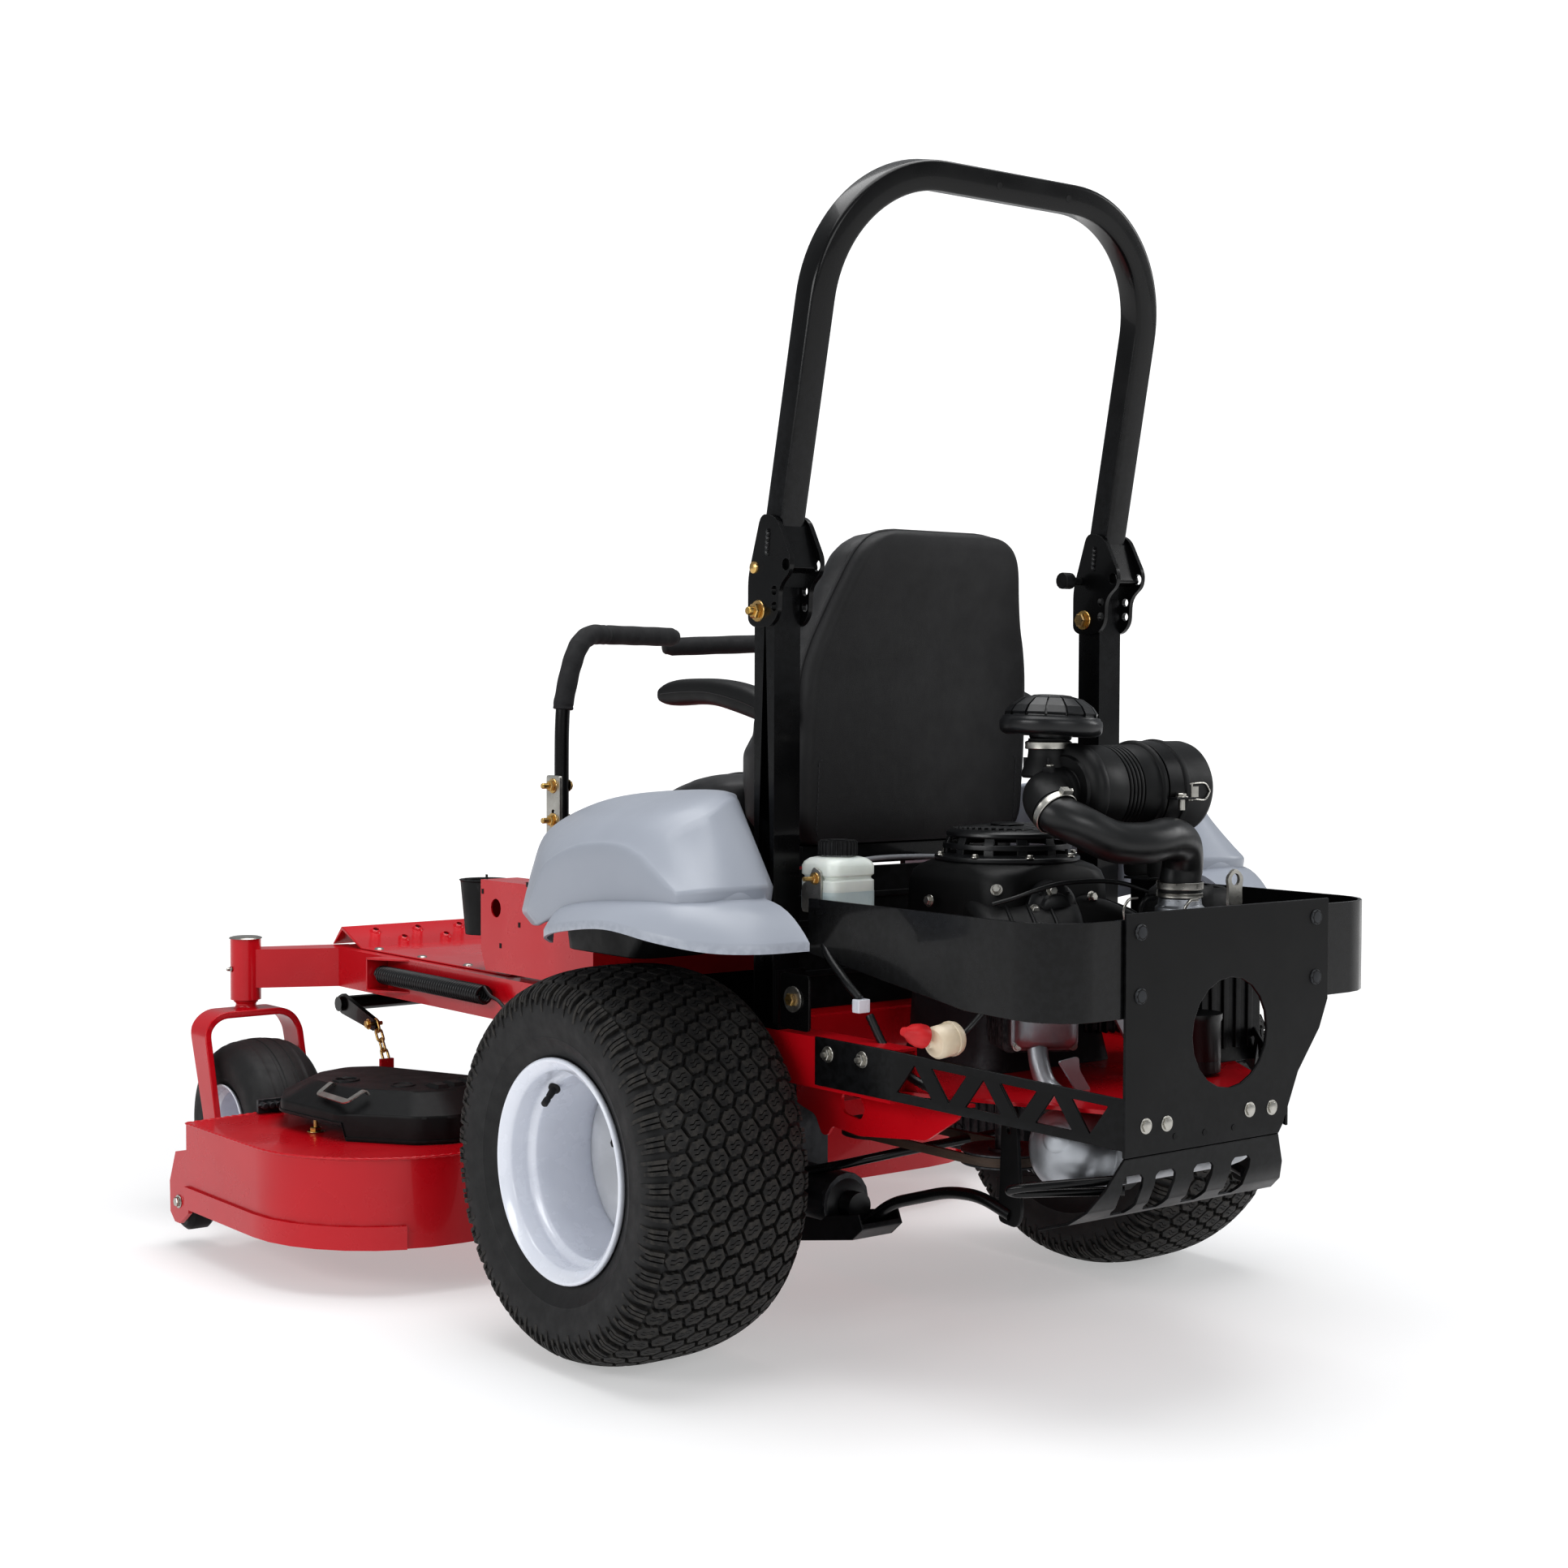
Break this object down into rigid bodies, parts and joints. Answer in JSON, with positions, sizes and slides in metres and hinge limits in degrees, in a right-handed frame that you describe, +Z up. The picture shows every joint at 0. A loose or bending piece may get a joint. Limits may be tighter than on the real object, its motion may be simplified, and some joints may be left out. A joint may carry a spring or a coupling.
{
  "type": "zero turn mower",
  "caption": "Ride-on zero turn mower: side-discharge cutting deck, front casters, twin control levers, suspended seat, folding roll bar and a rear vertical-shaft engine.",
  "frame": {"origin": "on the ground, below the middle of the mower's outer box", "axes": "+Z up, +Y towards the rear (engine), +X towards the machine's left side, away from the discharge chute"},
  "size_m": [1.8, 2.1946, 1.835],
  "materials": {
    "red_paint": "gloss",
    "black_paint": "gloss",
    "black_plastic": "fine matt grain",
    "grey_plastic": "satin",
    "clear_plastic": "translucent natural polyethylene",
    "yellow_plastic": "gloss",
    "tyre_rubber": "matt",
    "hose_rubber": "satin",
    "white_paint": "gloss",
    "zinc": "zinc plated",
    "cast_metal": "cast, painted dark",
    "blade_steel": "satin",
    "aluminium": "satin",
    "vinyl": "grained vinyl"
  },
  "bodies": {
    "chassis": {"main_frame": "red_paint", "floor_pan": "red_paint", "console_left": "red_paint", "console_right": "red_paint", "cup_holder": "black_plastic", "fender_left": "grey_plastic", "fender_right": "grey_plastic", "fuel_tank": "black_plastic", "rops_post_left": "black_paint", "rops_post_right": "black_paint", "rear_bumper": "black_paint", "rear_panel": "black_paint", "skid_guard": "black_paint", "engine_block": "cast_metal", "blower_housing": "black_plastic", "air_cleaner": "black_plastic", "intake_hose": "hose_rubber", "muffler": "aluminium", "hydraulic_tank": "clear_plastic", "transaxle_left": "cast_metal", "transaxle_right": "cast_metal"},
    "rear_wheel_left": {"rear_tyre_left": "tyre_rubber", "rear_rim_left": "white_paint"},
    "rear_wheel_right": {"rear_tyre_right": "tyre_rubber", "rear_rim_right": "white_paint"},
    "caster_yoke_left": {"caster_fork_left": "red_paint"},
    "caster_yoke_right": {"caster_fork_right": "red_paint"},
    "caster_wheel_left": {"caster_tyre_left": "tyre_rubber", "caster_rim_left": "white_paint"},
    "caster_wheel_right": {"caster_tyre_right": "tyre_rubber", "caster_rim_right": "white_paint"},
    "roll_bar": {"rops_hoop": "black_paint"},
    "roll_bar_pin_left": {"rops_pin_left": "black_plastic"},
    "roll_bar_pin_right": {"rops_pin_right": "black_plastic"},
    "lever_base_left": {"lever_arm_left": "zinc"},
    "lever_base_right": {"lever_arm_right": "zinc"},
    "lever_handle_left": {"lever_left": "black_paint"},
    "lever_handle_right": {"lever_right": "black_paint"},
    "seat_platform": {"seat_pan": "black_paint"},
    "seat": {"seat_cushion": "vinyl", "seat_back": "vinyl"},
    "seat_arm_left": {"armrest_left": "black_plastic"},
    "seat_arm_right": {"armrest_right": "black_plastic"},
    "cutting_deck": {"deck_shell": "red_paint", "belt_cover_left": "black_plastic", "belt_cover_right": "black_plastic"},
    "blade_spindle_left": {"spindle_left": "cast_metal", "blade_left": "blade_steel"},
    "blade_spindle_center": {"spindle_center": "cast_metal", "blade_center": "blade_steel"},
    "blade_spindle_right": {"spindle_right": "cast_metal", "blade_right": "blade_steel"},
    "chute": {"discharge_chute": "black_plastic"},
    "scalp_roller_left": {"anti_scalp_roller_left": "black_plastic"},
    "scalp_roller_right": {"anti_scalp_roller_right": "black_plastic"},
    "deck_lift": {"lift_shaft": "black_paint"},
    "crankshaft": {"engine_fan": "black_plastic"},
    "throttle": {"throttle_lever": "black_plastic"},
    "blade_knob": {"blade_switch": "yellow_plastic"},
    "key": {"ignition_key": "zinc"}
  },
  "joints": [
    {"name": "rear_wheel_left_spin", "type": "hinge", "parent": "chassis", "child": "rear_wheel_left", "pos_m": [0.637, 0.3557, 0.302], "axis": [1, 0, 0], "continuous": true},
    {"name": "caster_left_swivel", "type": "hinge", "parent": "chassis", "child": "caster_yoke_left", "pos_m": [0.631, -0.9893, 0.46], "axis": [0, 0, 1], "continuous": true},
    {"name": "caster_wheel_left_spin", "type": "hinge", "parent": "caster_yoke_left", "child": "caster_wheel_left", "pos_m": [0.631, -0.9273, 0.17], "axis": [1, 0, 0], "continuous": true},
    {"name": "rear_wheel_right_spin", "type": "hinge", "parent": "chassis", "child": "rear_wheel_right", "pos_m": [-0.425, 0.3557, 0.302], "axis": [1, 0, 0], "continuous": true},
    {"name": "caster_right_swivel", "type": "hinge", "parent": "chassis", "child": "caster_yoke_right", "pos_m": [-0.419, -0.9893, 0.46], "axis": [0, 0, 1], "continuous": true},
    {"name": "caster_wheel_right_spin", "type": "hinge", "parent": "caster_yoke_right", "child": "caster_wheel_right", "pos_m": [-0.419, -0.9273, 0.17], "axis": [1, 0, 0], "continuous": true},
    {"name": "roll_bar_fold", "type": "hinge", "parent": "chassis", "child": "roll_bar", "pos_m": [0.106, 0.4837, 1.144], "axis": [-1, 0, 0], "range_deg": [0, 95]},
    {"name": "roll_bar_pin_left_pull", "type": "slide", "parent": "roll_bar", "child": "roll_bar_pin_left", "axis": [-1, 0, 0], "range_m": [0, 0.012], "stiffness_N_per_m": 600, "springref_m": -0.01},
    {"name": "roll_bar_pin_right_pull", "type": "slide", "parent": "roll_bar", "child": "roll_bar_pin_right", "axis": [1, 0, 0], "range_m": [0, 0.012], "stiffness_N_per_m": 600, "springref_m": -0.01},
    {"name": "lever_left_drive", "type": "hinge", "parent": "chassis", "child": "lever_base_left", "pos_m": [0.442, -0.1383, 0.575], "axis": [1, 0, 0], "range_deg": [-8, 14]},
    {"name": "lever_right_drive", "type": "hinge", "parent": "chassis", "child": "lever_base_right", "pos_m": [-0.23, -0.1383, 0.575], "axis": [1, 0, 0], "range_deg": [-15, 7]},
    {"name": "lever_left_swing_out", "type": "hinge", "parent": "lever_base_left", "child": "lever_handle_left", "pos_m": [0.447, -0.1383, 0.699], "axis": [0, 1, 0], "range_deg": [0, 18]},
    {"name": "lever_right_swing_out", "type": "hinge", "parent": "lever_base_right", "child": "lever_handle_right", "pos_m": [-0.235, -0.1534, 0.6981], "axis": [0, -0.9925, -0.1219], "range_deg": [0, 18]},
    {"name": "seat_tilt", "type": "hinge", "parent": "chassis", "child": "seat_platform", "pos_m": [0.106, -0.1033, 0.748], "axis": [1, 0, 0], "range_deg": [0, 28]},
    {"name": "seat_fore_aft", "type": "slide", "parent": "seat_platform", "child": "seat", "axis": [0, -1, 0], "range_m": [-0.05, 0.05]},
    {"name": "armrest_left_fold", "type": "hinge", "parent": "seat", "child": "seat_arm_left", "pos_m": [0.387, 0.3957, 0.984], "axis": [-1, 0, 0], "range_deg": [0, 80]},
    {"name": "armrest_right_fold", "type": "hinge", "parent": "seat", "child": "seat_arm_right", "pos_m": [-0.175, 0.3957, 0.984], "axis": [-1, 0, 0], "range_deg": [0, 80]},
    {"name": "deck_height", "type": "slide", "parent": "chassis", "child": "cutting_deck", "axis": [0, 0, 1], "range_m": [-0.04, 0.05]},
    {"name": "blade_left_spin", "type": "hinge", "parent": "cutting_deck", "child": "blade_spindle_left", "pos_m": [0.636, -0.4013, 0.115], "axis": [0, 0, 1], "continuous": true},
    {"name": "blade_center_spin", "type": "hinge", "parent": "cutting_deck", "child": "blade_spindle_center", "pos_m": [0.106, -0.5313, 0.115], "axis": [0, 0, 1], "continuous": true},
    {"name": "blade_right_spin", "type": "hinge", "parent": "cutting_deck", "child": "blade_spindle_right", "pos_m": [-0.424, -0.4013, 0.115], "axis": [0, 0, 1], "continuous": true},
    {"name": "chute_lift", "type": "hinge", "parent": "cutting_deck", "child": "chute", "pos_m": [-0.686, -0.4543, 0.231], "axis": [0, 1, 0], "range_deg": [0, 92]},
    {"name": "scalp_roller_left_spin", "type": "hinge", "parent": "cutting_deck", "child": "scalp_roller_left", "pos_m": [0.85, -0.7403, 0.062], "axis": [1, 0, 0], "continuous": true},
    {"name": "scalp_roller_right_spin", "type": "hinge", "parent": "cutting_deck", "child": "scalp_roller_right", "pos_m": [-0.638, -0.7403, 0.062], "axis": [1, 0, 0], "continuous": true},
    {"name": "deck_lift_turn", "type": "hinge", "parent": "chassis", "child": "deck_lift", "pos_m": [0.106, -0.9343, 0.392], "axis": [1, 0, 0], "range_deg": [-22, 24]},
    {"name": "crankshaft_spin", "type": "hinge", "parent": "chassis", "child": "crankshaft", "pos_m": [0.106, 0.6317, 0.6], "axis": [0, 0, 1], "continuous": true},
    {"name": "throttle_turn", "type": "hinge", "parent": "chassis", "child": "throttle", "pos_m": [-0.246, -0.0223, 0.6886], "axis": [1, 0, 0], "range_deg": [-5, 40]},
    {"name": "blade_knob_pull", "type": "slide", "parent": "chassis", "child": "blade_knob", "axis": [0, 0, 1], "range_m": [0, 0.01]},
    {"name": "key_turn", "type": "hinge", "parent": "chassis", "child": "key", "pos_m": [-0.208, -0.2763, 0.69], "axis": [0, 0, -1], "range_deg": [0, 60]}
  ],
  "couplings": [
    {"joint": "blade_left_spin", "follows": "blade_center_spin", "ratio": 1},
    {"joint": "blade_right_spin", "follows": "blade_center_spin", "ratio": 1},
    {"joint": "deck_lift_turn", "follows": "deck_height", "rad_per_m": 7.69}
  ]
}
